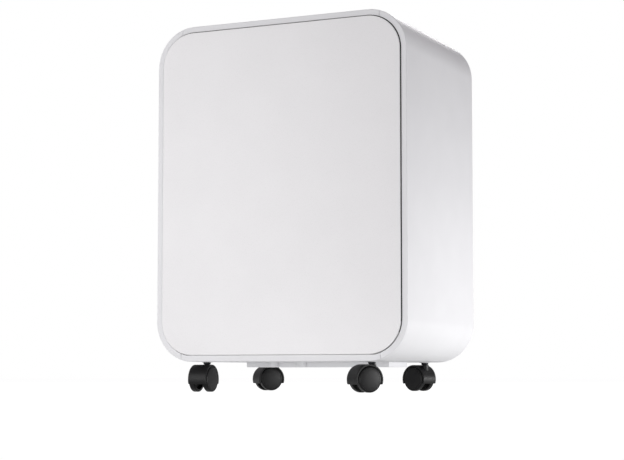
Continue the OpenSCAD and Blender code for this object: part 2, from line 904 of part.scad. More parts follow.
module fan_scroll() {
    duct = outlet_w / 2 + scroll_t;
    color(black)
        difference() {
            union() {
                along_y(scroll_y0, scroll_y1)
                    union() {
                        translate([0, fan_z])
                            circle(scroll_r);
                        translate([-min(duct, scroll_r), fan_z])
                            square([2 * min(duct, scroll_r), scroll_z1 - fan_z]);
                    }
                slab([-60, 60], [scroll_y0 + 12, scroll_y1 - 4],
                    [bay_z1, fan_z - scroll_r * 0.75]);
            }
            along_y(scroll_y0 + scroll_t, scroll_y1 - scroll_t)
                union() {
                    translate([0, fan_z])
                        circle(scroll_r - scroll_t);
                    translate([-min(duct, scroll_r) + scroll_t, fan_z])
                        square([2 * (min(duct, scroll_r) - scroll_t), scroll_z1 - fan_z + 1]);
                }
            rod_y(0, fan_z, scroll_y1 - scroll_t - 1, scroll_y1 + 1, fan_r - blade_d);
            rod_y(0, fan_z, scroll_y0 - 1, scroll_y0 + scroll_t + 1, shaft_r + 8);
        }
}

module fan_motor() {
    color(dark)
        difference() {
            union() {
                rod_y(0, fan_z, scroll_y0 - 6 - motor_len, scroll_y0 - 6, motor_r);
                rod_y(0, fan_z, scroll_y0 - 7, scroll_y0, shaft_r + 7);
                for (a = [45:90:315])
                    rod_y((motor_r - 1) * cos(a), fan_z + (motor_r - 1) * sin(a),
                        scroll_y0 - 16, scroll_y0, 5);
                rod_y(0, fan_z, scroll_y0 - 12 - motor_len, scroll_y0 - 5 - motor_len, 12);
            }
            rod_y(0, fan_z, scroll_y0 - motor_len, scroll_y0 + 1, shaft_r + run_gap);
        }
}

module motor_shaft() {
    color(steel)
        rod_y(0, fan_z, scroll_y0 - motor_len + 2, fan_y0 + 24, shaft_r);
}

module fan_wheel() {
    y1 = fan_y0 + fan_len;
    color(black)
        difference() {
            union() {
                rod_y(0, fan_z, fan_y0, fan_y0 + 2.5, fan_r);
                rod_y(0, fan_z, fan_y0, fan_y0 + 22, 12);
                rod_y(0, fan_z, fan_y0 + 1, fan_y0 + 8, 26);
                difference() {
                    rod_y(0, fan_z, y1 - 2.5, y1, fan_r);
                    rod_y(0, fan_z, y1 - 4, y1 + 1, fan_r - blade_d + 2);
                }
                translate([0, 0, fan_z])
                    for (k = [0:blade_n - 1])
                        rotate([0, k * 360 / blade_n, 0])
                            translate([fan_r - blade_d + 1, fan_y0 + 1, 0])
                                rotate([0, 24, 0])
                                    cube([blade_d - 3.5, fan_len - 2, 1.2]);
            }
            rod_y(0, fan_z, fan_y0 - 1, fan_y0 + 30, shaft_r);
        }
}

// ---------- electrics ----------

module run_capacitor() {
    color(steel)
        translate([-seam_x + 76, bulkhead_y + bulkhead_t + 22, 0])
            rotate_extrude()
                polygon([
                    [0, base_top],
                    [18, base_top],
                    [20, base_top + 3],
                    [20, base_top + 66],
                    [18, base_top + 69],
                    [8, base_top + 69],
                    [8, base_top + 74],
                    [0, base_top + 74],
                ]);
}

module main_board_box() {
    y = [bulkhead_y + bulkhead_t, bulkhead_y + bulkhead_t + 30];
    color(dark)
        difference() {
            slab([-seam_x + 12, -seam_x + 96], y, [base_top + 96, base_top + 210]);
            slab([-seam_x + 14, -seam_x + 94], [y[0] - 1, y[1] - 2],
                [base_top + 98, base_top + 208]);
        }
    color("seagreen")
        slab([-seam_x + 14, -seam_x + 94], [y[0] + 8, y[0] + 9.6],
            [base_top + 98, base_top + 208]);
}

module control_board() {
    color("seagreen")
        slab([-fascia_w / 2 + 2, fascia_w / 2 - 2], [fascia_y0 + 3, fascia_y0 + fascia_d - 3],
            [board_z1 - 1.6, board_z1]);
}

module control_fascia() {
    color(dark)
        difference() {
            slab([-fascia_w / 2, fascia_w / 2], [fascia_y0, fascia_y0 + fascia_d],
                [fascia_z - fascia_t, fascia_z]);
            for (k = [0:4])
                rod_z(button_x0 + k * button_pitch, fascia_y, fascia_z - 10, fascia_z + 1,
                    button_r + slide_gap);
            slab([fascia_w / 2 - 14 - window_w, fascia_w / 2 - 14],
                [fascia_y - window_d / 2, fascia_y + window_d / 2],
                [fascia_z - 1.4, fascia_z + 1]);
        }
}

module display_window() {
    color(black)
        slab([fascia_w / 2 - 14 - window_w, fascia_w / 2 - 14],
            [fascia_y - window_d / 2, fascia_y + window_d / 2],
            [fascia_z - 1.4, fascia_z + 0.2]);
}

// A round button whose stalk stops short of the board
module button(k) {
    x = button_x0 + k * button_pitch;
    stop_z = board_z1 + button_travel + press_rest;
    color("gainsboro") {
        rod_z(x, fascia_y, fascia_z - fascia_t - 1, top_z - 0.2, button_r);
        rod_z(x, fascia_y, stop_z, fascia_z - fascia_t, 2.5);
        rod_z(x, fascia_y, fascia_z - fascia_t - 2, fascia_z - fascia_t - 0.8, button_r + 1.5);
    }
}

module button_power() {
    button(0);
}

module button_mode() {
    button(1);
}

module button_timer() {
    button(2);
}

module button_down() {
    button(3);
}

module button_up() {
    button(4);
}

// ---------- top ----------

module outlet_grille() {
    gx = outlet_w / 2 - 0.2;
    gy = [scroll_y0 + 0.2, scroll_y1 - 0.2];
    n = floor(gx / 13);
    color(black) {
        difference() {
            slab([-gx, gx], gy, [grille_z0, grille_z1]);
            slab([-gx + 2, gx - 2], [gy[0] + 2, gy[1] - 2], [grille_z0 - 1, grille_z1 + 1]);
        }
        for (k = [-n + 1:n - 1])
            slab([k * 13 - 0.8, k * 13 + 0.8], [gy[0] + 1, gy[1] - 1],
                [grille_z0 + 1, grille_z1 - 1]);
        slab([-gx + 1, gx - 1], [(gy[0] + gy[1]) / 2 - 1, (gy[0] + gy[1]) / 2 + 1],
            [grille_z0 + 2, grille_z1 - 4]);
    }
}

module outlet_flap() {
    x = outlet_w / 2 - slide_gap;
    color(white)
        union() {
            rod_x(flap_y, top_z - flap_r, -x, x, flap_r);
            slab([-x, x], [flap_front + slide_gap, flap_y], [top_z - flap_t, top_z]);
            rod_x(flap_y, top_z - flap_r, -x - 2.2, x + 2.2, flap_pin_r);
            for (k = [-2:2])
                slab([k * x * 0.45 - 0.8, k * x * 0.45 + 0.8],
                    [flap_front + 6, flap_y - 1], [top_z - flap_t - 2, top_z - 1]);
        }
}

module carry_handle() {
    x = handle_w / 2;
    color(dark)
        union() {
            for (i = [-1, 1]) {
                slab([i * (x - handle_t / 2) - handle_t / 2, i * (x - handle_t / 2) + handle_t / 2],
                    [handle_y, handle_y + handle_l - 1],
                    [handle_z - handle_t / 2, handle_z + handle_t / 2]);
                rod_x(handle_y, handle_z, i * (x - handle_t / 2) - handle_t / 2,
                    i * (x - handle_t / 2) + handle_t / 2, handle_t / 2);
                rod_x(handle_y, handle_z, i * (x + 1) - 3.6, i * (x + 1) + 3.6, handle_pin_r);
            }
            slab([-x, x], [handle_y + handle_l - 12, handle_y + handle_l],
                [handle_z - handle_t / 2, handle_z + handle_t / 2]);
        }
}

// ---------- filter ----------

module filter_frame() {
    x = filter_w / 2;
    z1 = top_z - 0.6;
    mid = (filter_y0 + filter_y1) / 2;
    span = z1 - filter_z0 - 14 - filter_bar;
    color(white)
        difference() {
            slab([-x, x], [filter_y0, filter_y1], [filter_z0, z1]);
            for (c = [-1, 1], r = [0:2])
                slab([c > 0 ? filter_bar / 2 : -x + filter_bar, c > 0 ? x - filter_bar : -filter_bar / 2],
                    [filter_y0 - 1, filter_y1 + 1],
                    [filter_z0 + filter_bar + r * span / 3,
                        filter_z0 + (r + 1) * span / 3]);
            slab([-x + 3, x - 3], [mid - 0.35, mid + 0.35],
                [filter_z0 + 3, z1 - 11]);
        }
}

module filter_mesh() {
    x = filter_w / 2 - 3.1;
    mid = (filter_y0 + filter_y1) / 2;
    color(dark)
        slab([-x, x], [mid - 0.3, mid + 0.3], [filter_z0 + 3.1, top_z - 0.6 - 11.1]);
}

// ---------- back fittings ----------

module drain_plug() {
    color(black) {
        rod_y(-side_strip_x, drain_z, back_y - drain_depth + 4, back_y - 3, spigot_bore_r - run_gap);
        rod_y(-side_strip_x, drain_z, back_y - 4 + 0.2, back_y - 0.8, spigot_r - 0.5);
    }
}

module power_inlet() {
    w = inlet_w / 2;
    h = inlet_h / 2;
    color(black) {
        difference() {
            slab([side_strip_x - w - 3, side_strip_x + w + 3],
                [back_y - inlet_depth - 3, back_y - 0.2],
                [inlet_z - h - 3, inlet_z + h + 3]);
            slab([side_strip_x - w, side_strip_x + w], [back_y - inlet_depth, back_y + 1],
                [inlet_z - h, inlet_z + h]);
        }
        for (p = [[-7, -2], [0, 2], [7, -2]])
            slab([side_strip_x + p[0] - 1, side_strip_x + p[0] + 1],
                [back_y - inlet_depth - 1, back_y - 2],
                [inlet_z + p[1] - 2, inlet_z + p[1] + 2]);
    }
}

// ---------- casters ----------

module at_caster(i) {
    translate([casters[i][0], casters[i][1], 0])
        rotate([0, 0, casters[i][2]])
            children();
}

module caster_stems() {
    color(steel)
        for (c = casters) {
            rod_z(c[0], c[1], wheel_r + 1, bay_z0 - 1.6, stem_r);
            rod_z(c[0], c[1], hood_top + 0.4, floor_gap - stem_boss_h, stem_r + 1.2);
        }
}

module hood() {
    color(black)
        difference() {
            union() {
                intersection() {
                    difference() {
                        rod_y(-trail, wheel_r, -hood_half, hood_half, hood_r);
                        rod_y(-trail, wheel_r, -hood_half - 1, hood_half + 1, hood_r - hood_t);
                    }
                    slab([-60, 60], [-30, 30], [wheel_r - 6, hood_top + 1]);
                }
                intersection() {
                    rod_y(-trail, wheel_r, -2.4, 2.4, hood_r - 1);
                    slab([-60, 60], [-30, 30], [wheel_r - 6, hood_top + 1]);
                }
                rod_y(-trail, wheel_r, -wheel_in + 0.3, wheel_in - 0.3, axle_r + 2.5);
                rod_z(0, 0, wheel_r - 3, hood_top, socket_r);
            }
            rod_z(0, 0, wheel_r, hood_top + 1, stem_r + run_gap);
            rod_y(-trail, wheel_r, -20, 20, axle_r);
        }
}

module axle() {
    color(steel)
        rod_y(-trail, wheel_r, -wheel_in - wheel_w + 1, wheel_in + wheel_w - 1, axle_r);
}

// Wheel with a crowned outer face, a dished inner face and a softened tread
module wheel(side) {
    w = wheel_w;
    color(black)
        translate([-trail, side * wheel_in, wheel_r])
            rotate([side > 0 ? -90 : 90, 0, 0])
                rotate_extrude()
                    polygon([
                        [axle_r + run_gap, 0],
                        [axle_r + 2.4, 0],
                        [axle_r + 2.4, w * 0.5],
                        [wheel_r - 3.4, w * 0.5],
                        [wheel_r - 3.4, 0.3],
                        [wheel_r - 1, 0.3],
                        [wheel_r, 1.3],
                        [wheel_r, w - 1.8],
                        [wheel_r - 0.8, w - 0.9],
                        [wheel_r - 2.4, w - 0.4],
                        [axle_r + 3, w],
                        [axle_r + run_gap, w],
                    ]);
}

module hood_fl() {
    at_caster(0)
        hood();
}

module hood_fr() {
    at_caster(1)
        hood();
}

module hood_rl() {
    at_caster(2)
        hood();
}

module hood_rr() {
    at_caster(3)
        hood();
}

module axle_fl() {
    at_caster(0)
        axle();
}

module axle_fr() {
    at_caster(1)
        axle();
}

module axle_rl() {
    at_caster(2)
        axle();
}

module axle_rr() {
    at_caster(3)
        axle();
}

module wheel_at(i, side) {
    at_caster(i)
        wheel(side);
}

base_pan();
left_casing();
right_casing();
top_cover();
front_panel();
front_bulkhead();
back_cover();
casing_screws();
tank_bay();
drip_tray();
evaporator_fins();
evaporator_tubes();
condenser_fins();
condenser_tubes();
refrigerant_pipes();
filter_drier();
compressor();
compressor_mounts();
compressor_bolts();
fan_scroll();
fan_motor();
motor_shaft();
fan_wheel();
run_capacitor();
main_board_box();
control_board();
control_fascia();
display_window();
button_power();
button_mode();
button_timer();
button_down();
button_up();
outlet_grille();
outlet_flap();
carry_handle();
filter_frame();
filter_mesh();
water_tank();
tank_lid();
tank_float();
drain_plug();
power_inlet();
caster_stems();
hood_fl();
hood_fr();
hood_rl();
hood_rr();
axle_fl();
axle_fr();
axle_rl();
axle_rr();
wheel_at(0, 1);  // wheel_fl_a
wheel_at(0, -1);  // wheel_fl_b
wheel_at(1, 1);  // wheel_fr_a
wheel_at(1, -1);  // wheel_fr_b
wheel_at(2, 1);  // wheel_rl_a
wheel_at(2, -1);  // wheel_rl_b
wheel_at(3, 1);  // wheel_rr_a
wheel_at(3, -1);  // wheel_rr_b
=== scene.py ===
import bmesh
import bpy
import json
import math
from mathutils import Matrix, Vector


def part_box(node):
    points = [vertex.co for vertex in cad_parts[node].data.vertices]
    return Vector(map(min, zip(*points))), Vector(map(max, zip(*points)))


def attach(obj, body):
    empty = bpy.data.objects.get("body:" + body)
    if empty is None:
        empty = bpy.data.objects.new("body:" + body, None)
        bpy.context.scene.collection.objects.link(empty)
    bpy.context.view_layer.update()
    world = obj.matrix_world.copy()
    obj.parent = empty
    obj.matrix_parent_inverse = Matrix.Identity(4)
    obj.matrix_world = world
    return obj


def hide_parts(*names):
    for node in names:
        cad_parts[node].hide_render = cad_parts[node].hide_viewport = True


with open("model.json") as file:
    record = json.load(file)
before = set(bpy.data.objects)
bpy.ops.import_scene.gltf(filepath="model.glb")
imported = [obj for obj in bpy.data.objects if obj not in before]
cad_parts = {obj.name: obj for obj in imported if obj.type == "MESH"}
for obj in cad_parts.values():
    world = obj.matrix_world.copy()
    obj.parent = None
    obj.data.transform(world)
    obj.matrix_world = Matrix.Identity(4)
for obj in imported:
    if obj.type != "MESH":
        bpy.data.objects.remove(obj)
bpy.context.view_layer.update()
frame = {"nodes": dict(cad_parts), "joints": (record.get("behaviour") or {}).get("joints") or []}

# ---------------------------------------------------------------------------
# Studio: a pale matt floor that runs on past the object, two low strip lights
# at its right and front, broad soft boxes at the front left and high behind,
# and a camera close to the floor that looks slightly up at the front corner.
# ---------------------------------------------------------------------------


def linear(code):
    parts = [int(code[i:i + 2], 16) / 255 for i in (0, 2, 4)]
    return [p / 12.92 if p <= 0.04045 else ((p + 0.055) / 1.055) ** 2.4 for p in parts] + [1.0]


def add(tree, kind, inputs=None, **settings):
    made = tree.nodes.new(kind)
    for name, value in settings.items():
        setattr(made, name, value)
    for name, value in (inputs or {}).items():
        if isinstance(value, bpy.types.NodeSocket):
            tree.links.new(value, made.inputs[name])
        else:
            made.inputs[name].default_value = value
    return made


def blank(name):
    made = bpy.data.materials.new(name)
    made.use_nodes = True
    made.node_tree.nodes.clear()
    return made, made.node_tree


def put(name, bm, *finishes):
    mesh = bpy.data.meshes.new(name)
    bm.to_mesh(mesh)
    bm.free()
    piece = bpy.data.objects.new(name, mesh)
    bpy.context.scene.collection.objects.link(piece)
    for finish in finishes:
        mesh.materials.append(finish)
    return piece


# Matt floor paint: it scatters evenly, so the eye finds no edge and no gloss.
floor_half = 6.0
floor_paint, tree = blank("matt_white_floor_paint")
path = add(tree, "ShaderNodeLightPath")
dim = add(tree, "ShaderNodeEmission", {"Color": linear("ffffff"), "Strength": 0.47})
lit = add(tree, "ShaderNodeEmission", {"Color": linear("ffffff"), "Strength": 0.9})
glow = add(tree, "ShaderNodeMixShader", {
    0: path.outputs["Is Camera Ray"], 1: dim.outputs[0], 2: lit.outputs[0]})
matt = add(tree, "ShaderNodeBsdfDiffuse", {"Color": linear("8c8c8c")})
both = add(tree, "ShaderNodeAddShader", {0: glow.outputs[0], 1: matt.outputs[0]})
add(tree, "ShaderNodeOutputMaterial", {"Surface": both.outputs[0]})
bm = bmesh.new()
bmesh.ops.create_grid(bm, x_segments=1, y_segments=1, size=floor_half)
floor = put("studio_floor", bm, floor_paint)

world = bpy.data.worlds.new("studio_air")
bpy.context.scene.world = world
world.use_nodes = True
world.node_tree.nodes.clear()
tree = world.node_tree
path = add(tree, "ShaderNodeLightPath")
seen = add(tree, "ShaderNodeBackground", {"Color": linear("ffffff"), "Strength": 1.0})
fill = add(tree, "ShaderNodeBackground", {"Color": linear("f8f4f8"), "Strength": 0.38})
mix = add(tree, "ShaderNodeMixShader", {
    0: path.outputs["Is Camera Ray"], 1: fill.outputs[0], 2: seen.outputs[0]})
add(tree, "ShaderNodeOutputWorld", {"Surface": mix.outputs[0]})


def soft_box(name, place, aim, size, power):
    data = bpy.data.lights.new(name, "AREA")
    data.shape = "RECTANGLE"
    data.size, data.size_y = size
    data.energy = power
    lamp = bpy.data.objects.new(name, data)
    bpy.context.scene.collection.objects.link(lamp)
    lamp.location = place
    lamp.rotation_euler = (Vector(aim) - Vector(place)).to_track_quat("-Z", "Y").to_euler()


soft_box("low_right", (0.62, 0.12, 0.04), (0.17, 0.05, 0.1), (0.6, 0.06), 1.9)
soft_box("low_front", (0.05, -0.8, 0.04), (0.02, -0.1, 0.04), (1.0, 0.06), 1.4)
soft_box("near_left", (-0.86, -1.2, 0.45), (-0.08, -0.1, 0.3), (0.9, 0.9), 5.5)
soft_box("high_rear", (-0.5, 1.3, 1.3), (0.0, 0.1, 0.3), (1.0, 1.0), 14.0)

azimuth, tilt = math.radians(24.72), math.radians(4.25)
reach, aside, eye = 2.121, -0.0078, 0.0231
lens_mm, sensor_mm, upward_shift = 92.31, 36.0, 0.04
back = Vector((math.sin(azimuth), -math.cos(azimuth), 0))
across = Vector((math.cos(azimuth), math.sin(azimuth), 0))
camera_data = bpy.data.cameras.new("camera")
camera = bpy.data.objects.new("camera", camera_data)
bpy.context.scene.collection.objects.link(camera)
camera_data.sensor_width = sensor_mm
camera_data.lens = lens_mm
camera_data.shift_y = upward_shift
camera.location = back * reach + across * aside + Vector((0, 0, eye))
look = -back * math.cos(tilt) + Vector((0, 0, math.sin(tilt)))
camera.rotation_euler = look.to_track_quat("-Z", "Y").to_euler()
bpy.context.scene.camera = camera
bpy.context.scene.view_settings.view_transform = "Standard"

# ---------------------------------------------------------------------------
# Casing: left and right side shells, base pan and top cover, injection
# moulded in white ABS with a fine satin grain. The shells butt together in
# hairline seams, and the front edge of all four is rolled over a small radius.
# ---------------------------------------------------------------------------

mm = 0.001
hard_edge, same_face, shading_edge = (math.radians(a) for a in (32, 0.6, 38))


def moulded(name, code, rough, grain, depth, drift=0.015, ior=1.5):
    finish, tree = blank(name)
    place = add(tree, "ShaderNodeTexCoord").outputs["Object"]
    broad = add(tree, "ShaderNodeTexNoise", {
        "Vector": place, "Scale": 1 / (60 * mm), "Detail": 2.0, "Roughness": 0.5})
    fine = add(tree, "ShaderNodeTexNoise", {
        "Vector": place, "Scale": 1 / (grain * mm), "Detail": 3.0, "Roughness": 0.6})
    base = linear(code)
    low = [max(0.0, c * (1 - drift)) for c in base[:3]] + [1.0]
    high = [min(1.0, c * (1 + drift)) for c in base[:3]] + [1.0]
    ramp = add(tree, "ShaderNodeValToRGB", {"Fac": broad.outputs[0]})
    ramp.color_ramp.elements[0].color = low
    ramp.color_ramp.elements[0].position = 0.3
    ramp.color_ramp.elements[1].color = high
    ramp.color_ramp.elements[1].position = 0.7
    gloss = add(tree, "ShaderNodeMapRange", {
        "Value": fine.outputs[0], "From Min": 0.3, "From Max": 0.7,
        "To Min": rough - 0.05, "To Max": rough + 0.05})
    bump = add(tree, "ShaderNodeBump", {
        "Height": fine.outputs[0], "Strength": 1.0, "Distance": depth * mm})
    skin = add(tree, "ShaderNodeBsdfPrincipled", {
        "Base Color": ramp.outputs[0], "Roughness": gloss.outputs[0],
        "IOR": ior, "Normal": bump.outputs[0]})
    add(tree, "ShaderNodeOutputMaterial", {"Surface": skin.outputs[0]})
    return finish


def soften(name, node, passes, *finishes):
    """Rounds the hard edges of a merged copy of a moulding, pass by pass."""
    bm = bmesh.new()
    bm.from_mesh(frame["nodes"][node].data)
    bmesh.ops.remove_doubles(bm, verts=bm.verts, dist=0.002 * mm)
    bmesh.ops.dissolve_limit(bm, angle_limit=same_face, verts=bm.verts, edges=bm.edges)
    for chosen, width, steps in passes:
        edges = [
            e for e in bm.edges
            if len(e.link_faces) == 2 and e.calc_face_angle(0) > hard_edge
            and chosen((e.verts[0].co + e.verts[1].co) / 2 / mm, e)
        ]
        bmesh.ops.bevel(
            bm, geom=edges, offset=width * mm, offset_type="OFFSET", affect="EDGES",
            segments=steps, profile=0.5, clamp_overlap=False, material=-1)
    return finished(name, bm, *finishes)


def finished(name, bm, *finishes):
    for f in bm.faces:
        f.smooth = True
    for e in bm.edges:
        e.smooth = not (len(e.link_faces) == 2 and e.calc_face_angle(0) > shading_edge)
    piece = put(name, bm, *finishes)
    even = piece.modifiers.new("even_shading", "WEIGHTED_NORMAL")
    even.keep_sharp = True
    even.weight = 100
    return piece


def stands_for(piece, node, body):
    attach(piece, body)
    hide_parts(node)


# Satin moulded ABS: a fine spark grain breaks the sheen, so light rolls off it
# softly. The real grain is about 0.1 mm and is drawn coarser, so that it shows.
satin_abs = moulded("satin_moulded_abs", "e5e5e7", 0.42, 0.45, 0.012)
front_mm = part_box("right_casing")[0].y / mm
back_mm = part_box("right_casing")[1].y / mm
side_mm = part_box("right_casing")[1].x / mm
roof_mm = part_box("top_cover")[1].z / mm
under_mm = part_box("right_casing")[0].z / mm
seam_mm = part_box("right_casing")[0].x / mm
middle_mm, half_tall = (roof_mm + under_mm) / 2, (roof_mm - under_mm) / 2
corner_mm = 52.0


def outside(p):
    """How far a point lies in from the casing's rounded outline, in mm."""
    dx = abs(p.x) - (side_mm - corner_mm)
    dz = abs(p.z - middle_mm) - (half_tall - corner_mm)
    if dx > 0 and dz > 0:
        return corner_mm - math.hypot(dx, dz)
    return corner_mm - max(dx, dz)


def flush(a, b):
    return abs(a - b) < 0.05


def outer_front(p, e):
    return flush(p.y, front_mm) and outside(p) < 0.4


def outer_back(p, e):
    return flush(p.y, back_mm) and outside(p) < 0.4


def inner_front(p, e):
    return flush(p.y, front_mm) and 6.0 < outside(p) < 9.5


def anything(p, e):
    return True


for node in ("left_casing", "right_casing", "base_pan", "top_cover"):
    shell = soften(node + "_shell", node, [
        (outer_front, 1.2, 4),
        (outer_back, 1.2, 3),
        (inner_front, 0.7, 3),
        (anything, 0.25, 2),
    ], satin_abs)
    stands_for(shell, node, "body")

# ---------------------------------------------------------------------------
# Front panel: one broad ABS moulding polished a little smoother than the
# shells. It stands proud of the rim on posts, with a narrow shadow gap.
# ---------------------------------------------------------------------------

# Polished ABS: nearly flawless, with a tighter sheen than the grained shells.
smooth_abs = moulded("polished_abs_panel", "ecebec", 0.3, 0.8, 0.004, 0.01)
panel_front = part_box("front_panel")[0].y / mm


def panel_edge(p, e):
    return flush(p.y, panel_front)


panel = soften("front_panel_skin", "front_panel", [
    (panel_edge, 0.8, 4),
    (anything, 0.3, 2),
], smooth_abs)
stands_for(panel, "front_panel", "body")

# ---------------------------------------------------------------------------
# Panel seal: a black rubber section pressed into the gap round the panel, as
# painted shade that keeps the gap dark, with a thin lip up the panel's side as
# painted shade on that side face. It stops at the base, where the strip closes it.
# ---------------------------------------------------------------------------

# Nitrile rubber: a dull black that swallows light, without a highlight. Round the front panel it
# also serves as painted shade in the gap.
rubber_and_gap_shade = moulded("black_nitrile_rubber_and_gap_shade", "1a1a1a", 0.65, 0.7, 0.03, 0.05)
panel_in = side_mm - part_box("front_panel")[1].x / mm
gap_mm, bite, shade_lip_t = 1.0, 0.05, 0.35
corner_steps = 14
base_tall = 20.0


def band(bm, outer, inner, near, far):
    """A closed band round the panel, between two insets and two depths in mm."""
    made = bmesh.ops.create_grid(bm, x_segments=1, y_segments=1, size=1.0)["verts"]
    upright = Matrix.Rotation(math.pi / 2, 3, "X")
    bmesh.ops.scale(bm, vec=(side_mm - outer, half_tall - outer, 1), verts=made)
    bmesh.ops.rotate(bm, cent=(0, 0, 0), matrix=upright, verts=made)
    bmesh.ops.translate(bm, vec=(0, near, middle_mm), verts=made)
    bmesh.ops.bevel(
        bm, geom=made, offset=corner_mm - outer, offset_type="OFFSET", affect="VERTICES",
        segments=corner_steps, profile=0.5, material=-1)
    at_near = (f for f in bm.faces if abs(f.calc_center_median().y - near) < 0.001)
    sheet = max(at_near, key=lambda f: f.calc_area())
    rim = bmesh.ops.inset_region(
        bm, faces=[sheet], thickness=inner - outer, use_boundary=True,
        use_even_offset=True)["faces"]
    bmesh.ops.delete(bm, geom=[sheet], context="FACES")
    low = [
        f for f in rim
        if f.calc_center_median().z < under_mm + base_tall
        and abs(f.calc_center_median().x) < seam_mm
    ]
    bmesh.ops.delete(bm, geom=low, context="FACES")
    rim = [f for f in rim if f.is_valid]
    bmesh.ops.solidify(bm, geom=rim, thickness=far - near)


# The seal and its lip are painted shade: black sheets in the gap and on the panel's side, which
# the lamps would otherwise light.
bm = bmesh.new()
band(bm, panel_in - gap_mm - bite, panel_in + bite, front_mm + 0.25, front_mm + 3.0)
band(bm, panel_in - shade_lip_t, panel_in + bite, front_mm - 0.8, front_mm + 0.3)
bmesh.ops.scale(bm, vec=(mm, mm, mm), verts=bm.verts)
bmesh.ops.recalc_face_normals(bm, faces=bm.faces)
gap_shade_seal = finished("panel_gap_shade_seal", bm, rubber_and_gap_shade)
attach(gap_shade_seal, "body")

# ---------------------------------------------------------------------------
# Back cover: a flat satin ABS plate with rows of moulded intake slots, a
# drain pocket and an inlet opening. Six zinc plated screws hold it.
# ---------------------------------------------------------------------------

cover = soften("back_cover_plate", "back_cover", [(anything, 0.3, 2)], satin_abs)
stands_for(cover, "back_cover", "body")


def metal(name, code, rough, grain, stretch=(1.0, 1.0, 1.0)):
    finish, tree = blank(name)
    place = add(tree, "ShaderNodeTexCoord").outputs["Object"]
    turned = add(tree, "ShaderNodeMapping", {"Vector": place, "Scale": stretch})
    grit = add(tree, "ShaderNodeTexNoise", {
        "Vector": turned.outputs[0], "Scale": 1 / (grain * mm), "Detail": 3.0})
    base = linear(code)
    ramp = add(tree, "ShaderNodeValToRGB", {"Fac": grit.outputs[0]})
    ramp.color_ramp.elements[0].color = [c * 0.82 for c in base[:3]] + [1.0]
    ramp.color_ramp.elements[0].position = 0.25
    ramp.color_ramp.elements[1].color = base
    ramp.color_ramp.elements[1].position = 0.75
    gloss = add(tree, "ShaderNodeMapRange", {
        "Value": grit.outputs[0], "From Min": 0.3, "From Max": 0.7,
        "To Min": rough - 0.08, "To Max": rough + 0.08})
    bump = add(tree, "ShaderNodeBump", {
        "Height": grit.outputs[0], "Strength": 0.6, "Distance": 0.01 * mm})
    skin = add(tree, "ShaderNodeBsdfPrincipled", {
        "Base Color": ramp.outputs[0], "Roughness": gloss.outputs[0],
        "Metallic": 1.0, "Normal": bump.outputs[0]})
    add(tree, "ShaderNodeOutputMaterial", {"Surface": skin.outputs[0]})
    return finish


# Zinc plated steel: a cool pale grey with a slightly cloudy shine.
zinc = metal("zinc_plated_steel", "b9bbbe", 0.32, 0.6)
lo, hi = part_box("casing_screws")
shank, head, head_t = 1.6, 3.2, 1.1
cross_long, cross_w, cross_deep, cross_turn = 3.0, 0.5, 0.3, 0.3
middle_drop = 20.0
levels = (lo.z / mm + head, middle_mm - middle_drop, hi.z / mm - head)
screw_x = hi.x / mm - head
# The head's half section, from its axis out: radius and height over the cover.
head_section = [
    (0, -head_t), (shank, -head_t), (head, -head_t), (head, -0.5), (head - 0.6, -0.1),
    (head - 1.4, 0), (1.1, 0), (0.8, -0.6), (0, -0.7),
]
bm = bmesh.new()
for sx in (-1, 1):
    for z in levels:
        centre = Vector((sx * screw_x, hi.y / mm, z))
        verts = [bm.verts.new((centre + Vector((r, y, 0))) * mm) for r, y in head_section]
        edges = [bm.edges.new(pair) for pair in zip(verts, verts[1:])]
        bmesh.ops.spin(
            bm, geom=verts + edges, cent=centre * mm, axis=(0, 1, 0), angle=math.tau,
            steps=24, use_merge=True)
        for turn in (0, 1):
            arm = bmesh.ops.create_cube(bm, size=1.0)["verts"]
            turned = Matrix.Rotation(turn * math.pi / 2 + cross_turn, 3, "Y")
            bmesh.ops.scale(bm, vec=Vector((cross_long, cross_deep, cross_w)) * mm, verts=arm)
            bmesh.ops.rotate(bm, cent=(0, 0, 0), matrix=turned, verts=arm)
            bmesh.ops.translate(bm, vec=(centre + Vector((0, -0.12, 0))) * mm, verts=arm)
bmesh.ops.remove_doubles(bm, verts=bm.verts, dist=0.001 * mm)
bmesh.ops.recalc_face_normals(bm, faces=bm.faces)
screws = finished("cover_screws", bm, zinc)
stands_for(screws, "casing_screws", "body")

# ---------------------------------------------------------------------------
# Casters: black ABS hoods that swivel on steel stems, each over a pair of
# nylon wheels with a crowned face and a shallow ring, pressed on one axle.
# ---------------------------------------------------------------------------

# Spark grained ABS: deep black, with one broad soft highlight along a curve.
grained_black = moulded("spark_grained_black_abs", "050506", 0.42, 0.5, 0.02, 0.08, 1.38)
# Moulded nylon: black and smoother than the hoods, so its crown catches light.
nylon_black = moulded("semi_gloss_black_nylon", "060607", 0.36, 0.9, 0.006, 0.06, 1.36)
joints = {j["name"]: j for j in frame["joints"]}
wheel_w = 8.5
# The wheel's half section: radius and distance from its inner face, stretch by
# stretch from the blind bore, over the tread, to the middle of the outer face.
wheel_bore = [(0.0, 7.6), (2.55, 7.6), (2.55, 0.0)]
wheel_hub = [(4.9, 0.0), (4.9, 4.6), (12.6, 4.6), (12.6, 0.5), (12.8, 0.3)]
inner_shoulder = [(14.8, 0.3), (15.5, 0.55), (15.9, 1.1), (16.0, 1.8)]
outer_shoulder = [(16.0, 6.3), (15.88, 6.95), (15.5, 7.55), (14.9, 7.85), (13.9, 7.95)]
face_ring = [(13.7, 7.75), (13.4, 7.75), (13.2, 8.02)]
crown = [(11.0, 8.22), (8.0, 8.4), (4.0, 8.49), (0.0, 8.5)]
wheel_section = wheel_bore + wheel_hub + inner_shoulder + outer_shoulder + face_ring + crown

